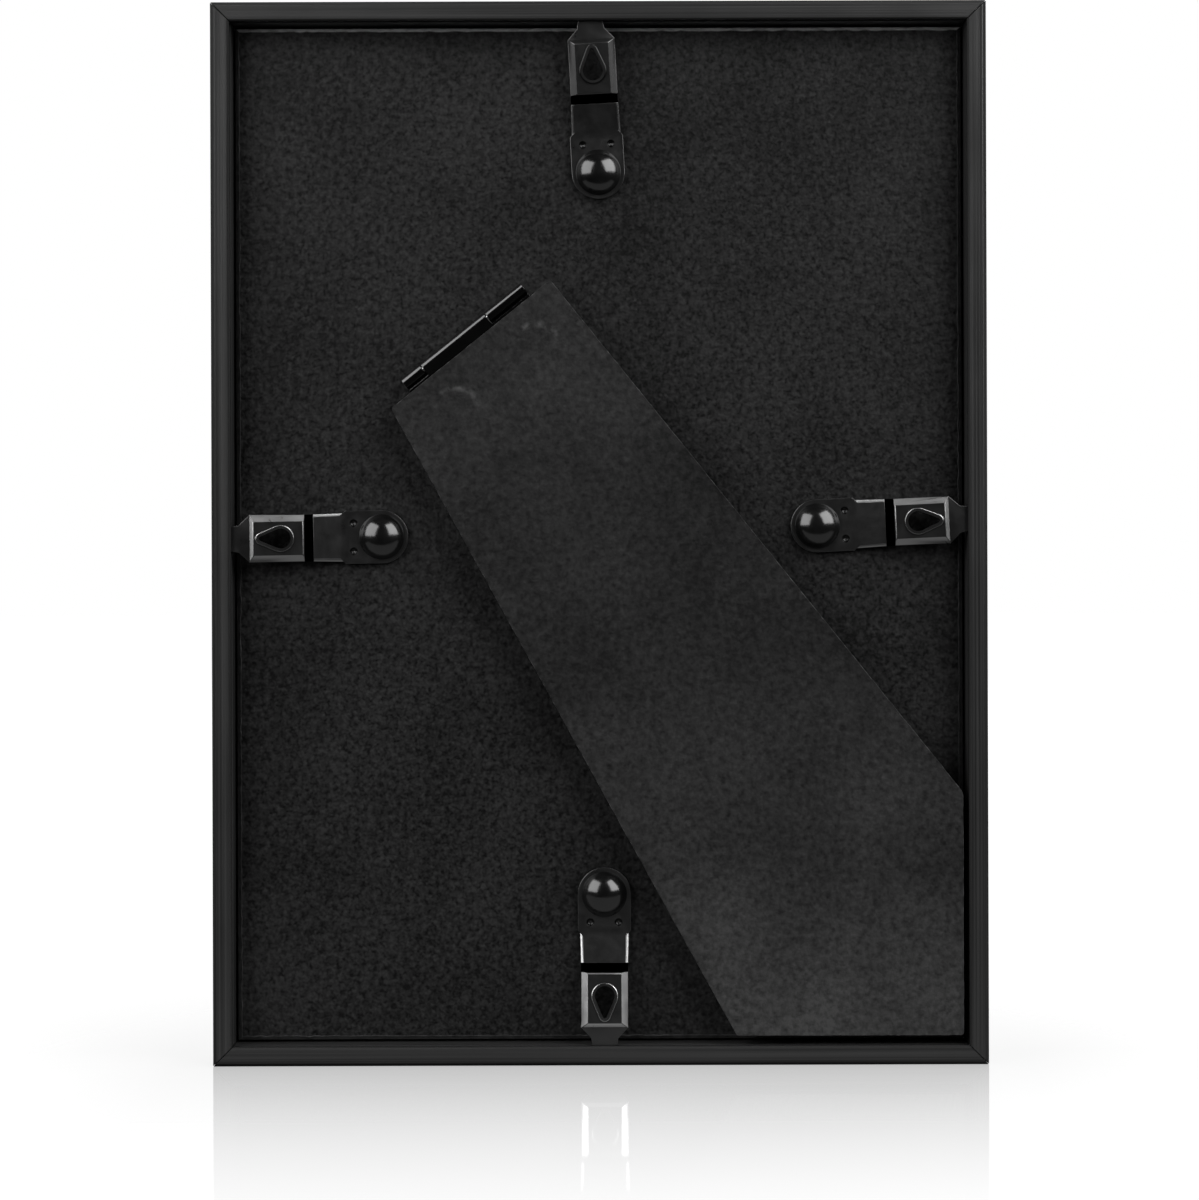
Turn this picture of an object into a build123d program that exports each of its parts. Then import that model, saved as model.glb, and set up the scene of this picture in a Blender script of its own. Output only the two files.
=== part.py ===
from build123d import *
import os
from math import asin, cos, degrees, radians, sin, sqrt, tan

# Easel back photo frame for one 5 x 7 inch print, with its strut folded flat.
# Millimetres, +Z up. The back faces -Y, the picture faces +Y, and +X is to the right as seen from behind.
# The origin is the middle of the face that the frame stands on.
# Heights called h are measured from the back of the covered board, outwards to the back of the frame.

# Print, pane and board, and the play that each has in the rails
PRINT_WIDTH = 127.0
PRINT_HEIGHT = 177.8
PRINT_THICKNESS = 0.3
PRINT_PLAY = 1.45
GLASS_THICKNESS = 2.0
GLASS_PLAY = 0.9
GLASS_SEAM = 0.3
BOARD_THICKNESS = 2.5
BOARD_PLAY = 0.4
BOARD_BEVEL = 0.9
COVER_THICKNESS = 0.4

# Rails
RAIL_WALL = 3.4
FACE_WIDTH = 10.5
FRONT_LIP = 4.6
BACK_RECESS = 5.2
BACK_LIP = 0.9
GROOVE_DEPTH = 1.8
OUTER_ROUND = 0.8
LIP_ROUND = 0.4
SIGHT_ROUND = 1.2
GLUE_LINE = 0.08

# Flat L keys hidden in the front lips, across the mitres
KEY_ARM = 15.0
KEY_WIDTH = 4.0
KEY_THICKNESS = 1.2
KEY_INSET = 4.0
KEY_CLEARANCE = 0.05

# Turn clips: the ramp is placed from the rivet, and the hump and tongue are set back from the rail
SHEET = 0.7
RIVET_TO_WALL = 26.3
TONGUE_REACH = 1.3
TONGUE_CLEARANCE = 0.25
TONGUE_SETBACK = 1.3
SHOULDER_LENGTH = 1.9
END_BEND = 0.8
HUMP_LENGTH = 9.6
HUMP_RISE = 0.5
HUMP_LEAN = 1.0
FOLD_LENGTH = 1.5
FOLD_LEAN = 0.15
RAMP_START = 6.4
RAMP_RISE = 1.2
RAMP_EDGE = 0.55
RAMP_EDGE_DROP = 0.28
BASE_RADIUS = 4.7
BASE_LIFT = 0.3
RAMP_HALF_WIDTH = 4.35
HUMP_HALF_WIDTH = 4.15
HUMP_FLAT_HALF_WIDTH = 2.95
TONGUE_ROOT_HALF_WIDTH = 2.4
TONGUE_END_HALF_WIDTH = 2.0
TONGUE_ROUND = 1.2
FLANGE_SLOPE = 28.0
BEND_ROUND = 0.4
KEYHOLE_SETBACK = 2.3
KEYHOLE_LENGTH = 5.6
KEYHOLE_RADIUS = 1.775
KEYHOLE_POINT_RADIUS = 0.45
KEYHOLE_RIM = 0.65
KEYHOLE_RIM_HEIGHT = 0.3
KEYHOLE_RIM_ROUND = 0.25
DIMPLE_ALONG = 4.95
DIMPLE_ACROSS = 2.5
DIMPLE_RADIUS = 1.0
DIMPLE_PIT_RADIUS = 0.75
DIMPLE_PIT_DEPTH = 0.5
DIMPLE_CLEARANCE = 0.03

# Where each clip's rivet stands along its rail, from the rail's middle, and the clip's heading at rest
CLIP_SHIFT = {"top": 0.0, "right": 1.2, "bottom": 0.67, "left": -0.5}
CLIP_HEADING = {"top": 93.0, "right": 2.5, "bottom": 270.0, "left": 180.8}

# Dome headed rivets of the clips, and their flared tails in the front of the board
DOME_RADIUS = 4.0
DOME_HEIGHT = 2.3
DOME_RIM = 0.25
HEAD_GAP = 0.06
SHANK_RADIUS = 1.8
SHANK_CLEARANCE = 0.05
TAIL_RADIUS = 2.8
TAIL_THICKNESS = 0.6
TAIL_SINK = 0.15
TAIL_HOLLOW_RADIUS = 1.1
TAIL_HOLLOW_DEPTH = 2.0

# Hinge along the strut's top edge: its slope, and how far up the strut it stands from the frame's middle
HINGE_TILT = 38.7
HINGE_RISE = 42.26
PIN_DIAMETER = 0.9
PIN_CLEARANCE = 0.05
LEAF_THICKNESS = 0.6
LEAF_LENGTH = 13.4
LEAF_ROUND = 2.0
KNUCKLES = {"low": 4.2, "middle": 14.4, "high": 8.2}
KNUCKLE_GAP = 0.2
KNUCKLE_LIFT = 0.1
NOTCH_CLEARANCE = 0.35
OPENING_LIMIT = 30.0
HEEL_LEAN = 25.0
HEEL_SPREAD = 25.0
HEEL_CLEARANCE = 0.04

# Rivets of the two leaves
LEAF_RIVET_DROP = 9.5
STRUT_RIVET_ACROSS = 9.0
BOARD_RIVET_ACROSS = 3.5
LEAF_SHANK_RADIUS = 1.4
LEAF_HEAD_RADIUS = 2.3
LEAF_HEAD_THICKNESS = 0.45
STRUT_HEAD_RADIUS = 3.7
STRUT_HEAD_THICKNESS = 0.5
HEAD_CLEARANCE = 0.1

# Strut: its width and its gap to the right clip's rivet are shares of the room between the side rivets
STRUT_WIDTH_SHARE = 0.5864
STRUT_GAP_SHARE = 0.1577
STRUT_RIVET_GAP = 4.65
STRUT_TOP_GAP = 2.1
STRUT_SIDE_GAP = 1.0
STRUT_FOOT_GAP = 1.75
STRUT_THICKNESS = 2.0
STRUT_COVER = 0.35
STRUT_ELBOW_ROUND = 2.5
STRUT_CORNER_ROUND = 0.6
HEAD_PRINT_RADIUS = 3.85
HEAD_PRINT_HEIGHT = 0.12
HEAD_PRINT_TAPER = 60.0

# Sizes that follow from those above
OPENING_WIDTH = PRINT_WIDTH + 2 * PRINT_PLAY
OPENING_HEIGHT = PRINT_HEIGHT + 2 * PRINT_PLAY
WIDTH = OPENING_WIDTH + 2 * RAIL_WALL
HEIGHT = OPENING_HEIGHT + 2 * RAIL_WALL
DEPTH = FRONT_LIP + GLASS_THICKNESS + PRINT_THICKNESS + BOARD_THICKNESS + COVER_THICKNESS + BACK_RECESS

COVER_Y = BACK_RECESS - DEPTH / 2
BOARD_BACK_H = -COVER_THICKNESS
BOARD_FRONT_H = BOARD_BACK_H - BOARD_THICKNESS
PRINT_FRONT_H = BOARD_FRONT_H - PRINT_THICKNESS
GLASS_FRONT_H = PRINT_FRONT_H - GLASS_THICKNESS

TONGUE_TOP = BACK_RECESS - BACK_LIP - TONGUE_CLEARANCE
HUMP_TOP = TONGUE_TOP + HUMP_RISE
BASE_TOP = BASE_LIFT + SHEET
RAMP_TOP = BASE_TOP + RAMP_RISE
GROOVE_BOTTOM = TONGUE_TOP - SHEET - TONGUE_CLEARANCE
GROOVE_TOP = TONGUE_TOP + TONGUE_CLEARANCE
TONGUE_END = RIVET_TO_WALL + TONGUE_REACH
TONGUE_START = RIVET_TO_WALL - TONGUE_SETBACK
HUMP_END = TONGUE_START - SHOULDER_LENGTH
HUMP_START = HUMP_END - HUMP_LENGTH
RAMP_END = HUMP_START - FOLD_LENGTH
KEYHOLE_START = HUMP_START + KEYHOLE_SETBACK
HUMP_CREST = HUMP_END - END_BEND

TAIL_SINK_DEPTH = TAIL_THICKNESS + TAIL_SINK
LEAF_TAIL_SINK_DEPTH = LEAF_HEAD_THICKNESS + TAIL_SINK
KNUCKLE_RADIUS = PIN_DIAMETER / 2 + PIN_CLEARANCE + LEAF_THICKNESS
AXIS_H = KNUCKLE_LIFT + KNUCKLE_RADIUS
BARREL_LENGTH = sum(KNUCKLES.values()) + 2 * KNUCKLE_GAP
STRUT_H = AXIS_H + KNUCKLE_RADIUS
STRUT_FACE_H = STRUT_H + STRUT_THICKNESS

# Reach that clears every side of a piece, for cuts right through it
BEYOND = 3 * DEPTH


def back_plane(spot, heading):
    """Plane on the covered board's back at a spot from its middle, its x axis turned to a heading."""
    along = (cos(radians(heading)), 0, sin(radians(heading)))
    return Plane(origin=(spot.X, COVER_Y, HEIGHT / 2 + spot.Y), x_dir=along, z_dir=(0, -1, 0))


FACE = back_plane(Vector(0, 0), 0)

# Spots of the clips' rivets, from the middle of the frame
CLIP_X = OPENING_WIDTH / 2 - RIVET_TO_WALL
CLIP_Z = OPENING_HEIGHT / 2 - RIVET_TO_WALL
CLIP_SPOTS = {
    "top": Vector(CLIP_SHIFT["top"], CLIP_Z),
    "right": Vector(CLIP_X, CLIP_SHIFT["right"]),
    "bottom": Vector(CLIP_SHIFT["bottom"], -CLIP_Z),
    "left": Vector(-CLIP_X, CLIP_SHIFT["left"]),
}
CLIP_PLANES = {side: back_plane(spot, CLIP_HEADING[side]) for side, spot in CLIP_SPOTS.items()}

# Spot of the hinge, which shares the room between the side rivets with the strut
along_hinge = Vector(1, 0).rotate(Axis.Z, HINGE_TILT)
down_strut = along_hinge.rotate(Axis.Z, -90)
rivet_room = (CLIP_SPOTS["right"] - CLIP_SPOTS["left"]).dot(along_hinge)
strut_top_width = STRUT_WIDTH_SHARE * rivet_room
strut_right = CLIP_SPOTS["right"].dot(along_hinge) - STRUT_GAP_SHARE * rivet_room
HINGE_SPOT = along_hinge * (strut_right - strut_top_width / 2) - down_strut * HINGE_RISE
HINGE = back_plane(HINGE_SPOT, HINGE_TILT)
BOARD_RIVETS = {
    "lower": (-BOARD_RIVET_ACROSS, -LEAF_RIVET_DROP),
    "upper": (BOARD_RIVET_ACROSS, -LEAF_RIVET_DROP),
}
STRUT_RIVETS = {
    "lower": (-STRUT_RIVET_ACROSS, -LEAF_RIVET_DROP),
    "upper": (STRUT_RIVET_ACROSS, -LEAF_RIVET_DROP),
}

os.makedirs("parts", exist_ok=True)

# Rails: one moulding section, mitred at both ends, with a blind slot in each mitre for its corner key
RAIL_SIDES = {
    "top": (Vector(0, 0, HEIGHT), Vector(0, 0, -1), WIDTH),
    "right": (Vector(WIDTH / 2, 0, HEIGHT / 2), Vector(-1, 0, 0), HEIGHT),
    "bottom": (Vector(0, 0, 0), Vector(0, 0, 1), WIDTH),
    "left": (Vector(-WIDTH / 2, 0, HEIGHT / 2), Vector(1, 0, 0), HEIGHT),
}
BACKWARDS = Vector(0, -1, 0)
section_cover = DEPTH / 2 - BACK_RECESS
section_points = [
    (0, -DEPTH / 2),
    (FACE_WIDTH, -DEPTH / 2),
    (FACE_WIDTH, FRONT_LIP - DEPTH / 2),
    (RAIL_WALL, FRONT_LIP - DEPTH / 2),
    (RAIL_WALL, section_cover + GROOVE_BOTTOM),
    (RAIL_WALL - GROOVE_DEPTH, section_cover + GROOVE_BOTTOM),
    (RAIL_WALL - GROOVE_DEPTH, section_cover + GROOVE_TOP),
    (RAIL_WALL, section_cover + GROOVE_TOP),
    (RAIL_WALL, DEPTH / 2),
    (0, DEPTH / 2),
]
section_rounds = [OUTER_ROUND, SIGHT_ROUND, 0, 0, 0, 0, 0, 0, LIP_ROUND, OUTER_ROUND]
lip_middle = FRONT_LIP / 2 - DEPTH / 2
slot_length = KEY_INSET + KEY_ARM + KEY_CLEARANCE
slot_width = KEY_WIDTH + 2 * KEY_CLEARANCE

for side, (middle, inwards, length) in RAIL_SIDES.items():
    along = inwards.cross(BACKWARDS)
    plan = Plane(origin=middle, x_dir=along, z_dir=BACKWARDS)
    half_length = length / 2 - GLUE_LINE / sqrt(2)
    mitre_top = 2 * FACE_WIDTH
    slot_place = ((length - slot_length) / 2, KEY_INSET + KEY_WIDTH / 2)
    with BuildPart() as rail:
        with BuildSketch(Plane(origin=middle, x_dir=inwards, z_dir=along)):
            with BuildLine():
                FilletPolyline(*section_points, radius=section_rounds, close=True)
            make_face()
        extrude(amount=length / 2, both=True)
        with BuildSketch(plan):
            with BuildLine():
                Polyline(
                    (-half_length, 0),
                    (half_length, 0),
                    (half_length - mitre_top, mitre_top),
                    (mitre_top - half_length, mitre_top),
                    close=True,
                )
            make_face()
        extrude(amount=DEPTH, both=True, mode=Mode.INTERSECT)
        with BuildSketch(plan.offset(lip_middle)):
            with Locations(slot_place, (-slot_place[0], slot_place[1])):
                Rectangle(slot_length, slot_width)
        extrude(amount=KEY_THICKNESS / 2 + KEY_CLEARANCE, both=True, mode=Mode.SUBTRACT)
    rail.part.label = f"rail_{side}"
    export_step(rail.part, f"parts/rail_{side}.step")

# Corner keys: flat L pieces in the rails' slots
CORNERS = {
    "top_left": (-1, 1),
    "top_right": (1, 1),
    "bottom_left": (-1, -1),
    "bottom_right": (1, -1),
}
key_middle = KEY_INSET + KEY_ARM / 2
key_centre = KEY_INSET + KEY_WIDTH / 2

for corner, (across, up) in CORNERS.items():
    outside = Vector(across * WIDTH / 2, -lip_middle, HEIGHT / 2 * (1 + up))
    inward_x = Vector(-across, 0, 0)
    inward_z = Vector(0, 0, -up)
    with BuildPart() as key:
        with BuildSketch(Plane(origin=outside, x_dir=inward_x, z_dir=inward_x.cross(inward_z))):
            with Locations((key_middle, key_centre)):
                Rectangle(KEY_ARM, KEY_WIDTH)
            with Locations((key_centre, key_middle)):
                Rectangle(KEY_WIDTH, KEY_ARM)
        extrude(amount=KEY_THICKNESS / 2, both=True)
    key.part.label = f"corner_key_{corner}"
    export_step(key.part, f"parts/corner_key_{corner}.step")

# Glass pane with seamed edges, in the rails' rabbet
with BuildPart() as glass:
    with BuildSketch(FACE.offset(GLASS_FRONT_H)):
        Rectangle(OPENING_WIDTH - 2 * GLASS_PLAY, OPENING_HEIGHT - 2 * GLASS_PLAY)
    extrude(amount=GLASS_THICKNESS)
    chamfer(glass.edges() - glass.edges().filter_by(Axis.Y), GLASS_SEAM)
glass.part.label = "glass_pane"
export_step(glass.part, "parts/glass_pane.step")

# Blank sheet of print paper behind the glass
with BuildPart() as insert:
    with BuildSketch(FACE.offset(PRINT_FRONT_H)):
        Rectangle(PRINT_WIDTH, PRINT_HEIGHT)
    extrude(amount=PRINT_THICKNESS)
insert.part.label = "photo_insert"
export_step(insert.part, "parts/photo_insert.step")

# Backboard: its back edges are bevelled, and its rivets' tails are sunk in its front
BOARD_WIDTH = OPENING_WIDTH - 2 * BOARD_PLAY
BOARD_HEIGHT = OPENING_HEIGHT - 2 * BOARD_PLAY
clip_places = list(CLIP_PLANES.values())
board_rivet_places = list(BOARD_RIVETS.values())

with BuildPart() as board_blank:
    with BuildSketch(FACE.offset(BOARD_FRONT_H)):
        Rectangle(BOARD_WIDTH, BOARD_HEIGHT)
    extrude(amount=BOARD_THICKNESS)
    chamfer(board_blank.faces().sort_by(Axis.Y)[0].edges(), BOARD_BEVEL)

# Holes of all six rivets, right through the board and its cover
with BuildPart() as rivet_holes:
    with BuildSketch(*clip_places):
        Circle(SHANK_RADIUS + SHANK_CLEARANCE)
    extrude(amount=BEYOND, both=True)
    with BuildSketch(HINGE):
        with Locations(*board_rivet_places):
            Circle(LEAF_SHANK_RADIUS + SHANK_CLEARANCE)
    extrude(amount=BEYOND, both=True)

with BuildPart() as board:
    add(board_blank.part)
    add(rivet_holes.part, mode=Mode.SUBTRACT)
    with BuildSketch(*[place.offset(BOARD_FRONT_H) for place in clip_places]):
        Circle(TAIL_RADIUS + HEAD_CLEARANCE)
    extrude(amount=TAIL_SINK_DEPTH, mode=Mode.SUBTRACT)
    with BuildSketch(HINGE.offset(BOARD_FRONT_H)):
        with Locations(*board_rivet_places):
            Circle(LEAF_HEAD_RADIUS + HEAD_CLEARANCE)
    extrude(amount=LEAF_TAIL_SINK_DEPTH, mode=Mode.SUBTRACT)
board.part.label = "backboard"
export_step(board.part, "parts/backboard.step")

# Cover paper: an even skin over the board's back and its bevel
with BuildPart() as cover:
    with BuildSketch(FACE.offset(BOARD_BACK_H - BOARD_BEVEL)):
        Rectangle(BOARD_WIDTH, BOARD_HEIGHT)
    extrude(amount=BOARD_BEVEL + COVER_THICKNESS)
    bevel_of_cover = BOARD_BEVEL - COVER_THICKNESS * tan(radians(45 / 2))
    chamfer(cover.faces().sort_by(Axis.Y)[0].edges(), bevel_of_cover)
    add(board_blank.part, mode=Mode.SUBTRACT)
    add(rivet_holes.part, mode=Mode.SUBTRACT)
cover.part.label = "backboard_cover"
export_step(cover.part, "parts/backboard_cover.step")


# Top of a clip's hump on the clip's own axes: it rises to the rail, and the plane stands on its crest
rise_of_hump = Vector(HUMP_CREST - HUMP_START, 0, HUMP_LEAN)
HUMP_PLANE = Plane(origin=(HUMP_CREST, 0, HUMP_TOP), x_dir=rise_of_hump, z_dir=rise_of_hump.rotate(Axis.Y, -90))


def bent_block(inset):
    """Solid under the bent sheet: its side view crossed with the roof of its flanges, less an inset."""
    reach = 2 * TONGUE_END
    eaves = 2 * BASE_RADIUS
    slope = tan(radians(FLANGE_SLOPE))
    with BuildPart() as block:
        with BuildSketch(Plane.XZ):
            with BuildLine():
                Polyline(
                    (-reach, BASE_TOP),
                    (RAMP_START, BASE_TOP),
                    (RAMP_END, RAMP_TOP),
                    (RAMP_END + FOLD_LEAN, BASE_TOP),
                    (HUMP_START - FOLD_LEAN, BASE_TOP),
                    (HUMP_START, HUMP_TOP - HUMP_LEAN),
                    (HUMP_CREST, HUMP_TOP),
                    (HUMP_END, TONGUE_TOP),
                    (reach, TONGUE_TOP),
                    (reach, -BEYOND),
                    (-reach, -BEYOND),
                    close=True,
                )
            make_face()
            if inset:
                offset(amount=-inset, kind=Kind.INTERSECTION, mode=Mode.REPLACE)
        extrude(amount=eaves, both=True)
        with BuildSketch(Plane(HUMP_PLANE.origin, x_dir=(0, 1, 0), z_dir=HUMP_PLANE.x_dir)):
            with BuildLine():
                Polyline(
                    (-eaves, (HUMP_FLAT_HALF_WIDTH - eaves) * slope),
                    (0, HUMP_FLAT_HALF_WIDTH * slope),
                    (eaves, (HUMP_FLAT_HALF_WIDTH - eaves) * slope),
                    (eaves, -BEYOND),
                    (-eaves, -BEYOND),
                    close=True,
                )
            make_face()
            if inset:
                offset(amount=-inset, kind=Kind.INTERSECTION, mode=Mode.REPLACE)
        extrude(amount=reach, both=True, mode=Mode.INTERSECT)
    return block.part


# Turn clip, made once on its own axes: x runs from the rivet to the tongue, z is the height over the board
keyhole_centre = KEYHOLE_START + KEYHOLE_RADIUS
keyhole_point = KEYHOLE_START + KEYHOLE_LENGTH - KEYHOLE_POINT_RADIUS
dimple_places = [(DIMPLE_ALONG, -DIMPLE_ACROSS), (DIMPLE_ALONG, DIMPLE_ACROSS)]

with BuildPart() as clip_dimples:
    with Locations(*[(x, y, DIMPLE_CLEARANCE + DIMPLE_RADIUS) for x, y in dimple_places]):
        Sphere(DIMPLE_RADIUS)
    with BuildSketch(Plane.XY.offset(BASE_TOP - DIMPLE_PIT_DEPTH / 2)):
        Rectangle(BEYOND, BEYOND)
    extrude(amount=BEYOND, mode=Mode.SUBTRACT)

with BuildPart() as clip_form:
    add(bent_block(0))
    hump = clip_form.faces().filter_by(HUMP_PLANE).sort_by(Axis.Z)[-1]
    fillet(hump.edges(), BEND_ROUND)
    add(bent_block(SHEET), mode=Mode.SUBTRACT)
    with BuildSketch() as outline:
        Circle(BASE_RADIUS)
        with BuildLine():
            Polyline(
                (0, -BASE_RADIUS),
                (RAMP_START, -BASE_RADIUS),
                (RAMP_START + BASE_RADIUS - RAMP_HALF_WIDTH, -RAMP_HALF_WIDTH),
                (HUMP_START, -HUMP_HALF_WIDTH),
                (HUMP_END, -HUMP_HALF_WIDTH),
                (TONGUE_START, -TONGUE_ROOT_HALF_WIDTH),
                (TONGUE_END, -TONGUE_END_HALF_WIDTH),
                (TONGUE_END, TONGUE_END_HALF_WIDTH),
                (TONGUE_START, TONGUE_ROOT_HALF_WIDTH),
                (HUMP_END, HUMP_HALF_WIDTH),
                (HUMP_START, HUMP_HALF_WIDTH),
                (RAMP_START + BASE_RADIUS - RAMP_HALF_WIDTH, RAMP_HALF_WIDTH),
                (RAMP_START, BASE_RADIUS),
                (0, BASE_RADIUS),
                close=True,
            )
        make_face()
        fillet(outline.vertices().group_by(Axis.X)[-1], TONGUE_ROUND)
    extrude(amount=BEYOND, mode=Mode.INTERSECT)
    ramp_middle = ((RAMP_START + RAMP_END) / 2, 0, (BASE_TOP + RAMP_TOP) / 2)
    ramp = clip_form.faces().sort_by_distance(ramp_middle)[0]
    long_sides = ramp.edges().filter_by(lambda edge: abs(edge.center().Y) > HUMP_FLAT_HALF_WIDTH)
    chamfer(long_sides.sort_by(SortBy.LENGTH)[-2:], RAMP_EDGE, RAMP_EDGE_DROP, reference=ramp)
    add(clip_dimples.part)
    with Locations(*[(x, y, BASE_TOP + DIMPLE_PIT_RADIUS - DIMPLE_PIT_DEPTH) for x, y in dimple_places]):
        Sphere(DIMPLE_PIT_RADIUS, mode=Mode.SUBTRACT)
    with BuildSketch(HUMP_PLANE.offset(-SHEET / 2)):
        with Locations((keyhole_centre - HUMP_CREST, 0)):
            Circle(KEYHOLE_RADIUS + KEYHOLE_RIM)
        with Locations((keyhole_point - HUMP_CREST, 0)):
            Circle(KEYHOLE_POINT_RADIUS + KEYHOLE_RIM)
        make_hull()
    extrude(amount=SHEET / 2 + KEYHOLE_RIM_HEIGHT)
    rim_top = clip_form.faces().filter_by(HUMP_PLANE).sort_by(Axis(HUMP_PLANE.origin, HUMP_PLANE.z_dir))[-1]
    fillet(rim_top.edges(), KEYHOLE_RIM_ROUND)
    with BuildSketch():
        with Locations((keyhole_centre, 0)):
            Circle(KEYHOLE_RADIUS)
        with Locations((keyhole_point, 0)):
            Circle(KEYHOLE_POINT_RADIUS)
        make_hull()
    extrude(amount=BEYOND, mode=Mode.SUBTRACT)
    with BuildSketch():
        Circle(SHANK_RADIUS + SHANK_CLEARANCE)
    extrude(amount=BEYOND, mode=Mode.SUBTRACT)

for side, place in CLIP_PLANES.items():
    with BuildPart(place) as clip:
        add(clip_form.part)
    clip.part.label = f"clip_{side}"
    export_step(clip.part, f"parts/clip_{side}.step")

# Dome headed rivet of a clip, with its hollow tail flared out in the front of the board
dome_foot = BASE_TOP + HEAD_GAP
dome_spring = dome_foot + DOME_RIM
dome_top = dome_spring + DOME_HEIGHT
dome_sphere = (DOME_RADIUS**2 + DOME_HEIGHT**2) / (2 * DOME_HEIGHT)
dome_half_angle = asin(DOME_RADIUS / dome_sphere) / 2
dome_shoulder = (
    dome_sphere * sin(dome_half_angle),
    dome_top - dome_sphere * (1 - cos(dome_half_angle)),
)
tail_seat = BOARD_FRONT_H + TAIL_SINK_DEPTH
tail_end = tail_seat - TAIL_THICKNESS

with BuildPart() as clip_rivet_form:
    with BuildSketch(Plane.XZ):
        with BuildLine():
            ThreePointArc((0, dome_top), dome_shoulder, (DOME_RADIUS, dome_spring))
            Polyline(
                (DOME_RADIUS, dome_spring),
                (DOME_RADIUS, dome_foot),
                (SHANK_RADIUS, dome_foot),
                (SHANK_RADIUS, tail_seat),
                (TAIL_RADIUS, tail_seat),
                (TAIL_RADIUS, tail_end),
                (TAIL_HOLLOW_RADIUS, tail_end),
                (TAIL_HOLLOW_RADIUS, tail_end + TAIL_HOLLOW_DEPTH),
                (0, tail_end + TAIL_HOLLOW_DEPTH),
                (0, dome_top),
            )
        make_face()
    revolve(axis=Axis.Z)

for side, place in CLIP_PLANES.items():
    with BuildPart(place) as clip_rivet:
        add(clip_rivet_form.part)
    clip_rivet.part.label = f"clip_rivet_{side}"
    export_step(clip_rivet.part, f"parts/clip_rivet_{side}.step")

# Hinge, made on its own axes: x runs along the barrel, -y down the strut, z is the height over the board
BARREL_START = -BARREL_LENGTH / 2
knuckle_starts = {
    "low": BARREL_START,
    "middle": BARREL_START + KNUCKLES["low"] + KNUCKLE_GAP,
    "high": BARREL_START + KNUCKLES["low"] + KNUCKLES["middle"] + 2 * KNUCKLE_GAP,
}
BOARD_KNUCKLES = ["low", "high"]
STRUT_KNUCKLES = ["middle"]


def leaf_form(bottom, own_knuckles, other_knuckles, rivets):
    """Hinge leaf with its bottom at a height, curled into its own knuckles and notched for the others."""
    notch = KNUCKLE_RADIUS + NOTCH_CLEARANCE
    with BuildPart() as leaf:
        with BuildSketch(Plane.XY.offset(bottom)) as plate:
            with Locations((0, -LEAF_LENGTH / 2)):
                Rectangle(BARREL_LENGTH, LEAF_LENGTH)
            fillet(plate.vertices().group_by(Axis.Y)[0], LEAF_ROUND)
            for knuckle in other_knuckles:
                middle = knuckle_starts[knuckle] + KNUCKLES[knuckle] / 2
                with Locations((middle, 0)):
                    Rectangle(KNUCKLES[knuckle] + 2 * KNUCKLE_GAP, 2 * notch, mode=Mode.SUBTRACT)
            with Locations(*rivets.values()):
                Circle(LEAF_SHANK_RADIUS + SHANK_CLEARANCE, mode=Mode.SUBTRACT)
        extrude(amount=LEAF_THICKNESS)
        for knuckle in own_knuckles:
            with BuildSketch(Plane.YZ.offset(knuckle_starts[knuckle])):
                with Locations((0, AXIS_H)):
                    Circle(KNUCKLE_RADIUS)
            extrude(amount=KNUCKLES[knuckle])
        if own_knuckles == STRUT_KNUCKLES:
            heel_radius = (AXIS_H - HEEL_CLEARANCE) / cos(radians(HEEL_LEAN))
            heel_shut = HEEL_LEAN + OPENING_LIMIT
            heel_arms = [
                (KNUCKLE_RADIUS - PIN_CLEARANCE, radians(heel_shut - HEEL_SPREAD)),
                (heel_radius, radians(heel_shut)),
                (KNUCKLE_RADIUS - PIN_CLEARANCE, radians(heel_shut + HEEL_SPREAD)),
            ]
            heel_points = [(arm * sin(lean), AXIS_H - arm * cos(lean)) for arm, lean in heel_arms]
            with BuildSketch(Plane.YZ.offset(knuckle_starts["middle"])):
                with BuildLine():
                    Polyline((0, AXIS_H), *heel_points, close=True)
                make_face()
            extrude(amount=KNUCKLES["middle"])
        with BuildSketch(Plane.YZ.offset(BARREL_START)):
            with Locations((0, AXIS_H)):
                Circle(PIN_DIAMETER / 2 + PIN_CLEARANCE)
        extrude(amount=BARREL_LENGTH, mode=Mode.SUBTRACT)
    return leaf.part


with BuildPart(HINGE) as board_leaf:
    add(leaf_form(0, BOARD_KNUCKLES, STRUT_KNUCKLES, BOARD_RIVETS))
board_leaf.part.label = "hinge_board_leaf"
export_step(board_leaf.part, "parts/hinge_board_leaf.step")

with BuildPart(HINGE) as strut_leaf:
    add(leaf_form(STRUT_H - LEAF_THICKNESS, STRUT_KNUCKLES, BOARD_KNUCKLES, STRUT_RIVETS))
strut_leaf.part.label = "hinge_strut_leaf"
export_step(strut_leaf.part, "parts/hinge_strut_leaf.step")

with BuildPart() as pin_form:
    with BuildSketch(Plane.YZ.offset(BARREL_START)):
        with Locations((0, AXIS_H)):
            Circle(PIN_DIAMETER / 2)
    extrude(amount=BARREL_LENGTH)

with BuildPart(HINGE) as pin:
    add(pin_form.part)
pin.part.label = "hinge_pin"
export_step(pin.part, "parts/hinge_pin.step")


def flat_rivet(head_bottom, head_radius, head_thickness, tail_bottom):
    """Flat headed rivet on its own axis, from its head down to its flared tail."""
    tail_top = tail_bottom + LEAF_HEAD_THICKNESS
    with BuildPart() as rivet:
        with BuildSketch(Plane.XY.offset(head_bottom)):
            Circle(head_radius)
        extrude(amount=head_thickness)
        with BuildSketch(Plane.XY.offset(tail_top)):
            Circle(LEAF_SHANK_RADIUS)
        extrude(amount=head_bottom - tail_top)
        with BuildSketch(Plane.XY.offset(tail_bottom)):
            Circle(LEAF_HEAD_RADIUS)
        extrude(amount=LEAF_HEAD_THICKNESS)
    return rivet.part


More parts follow.
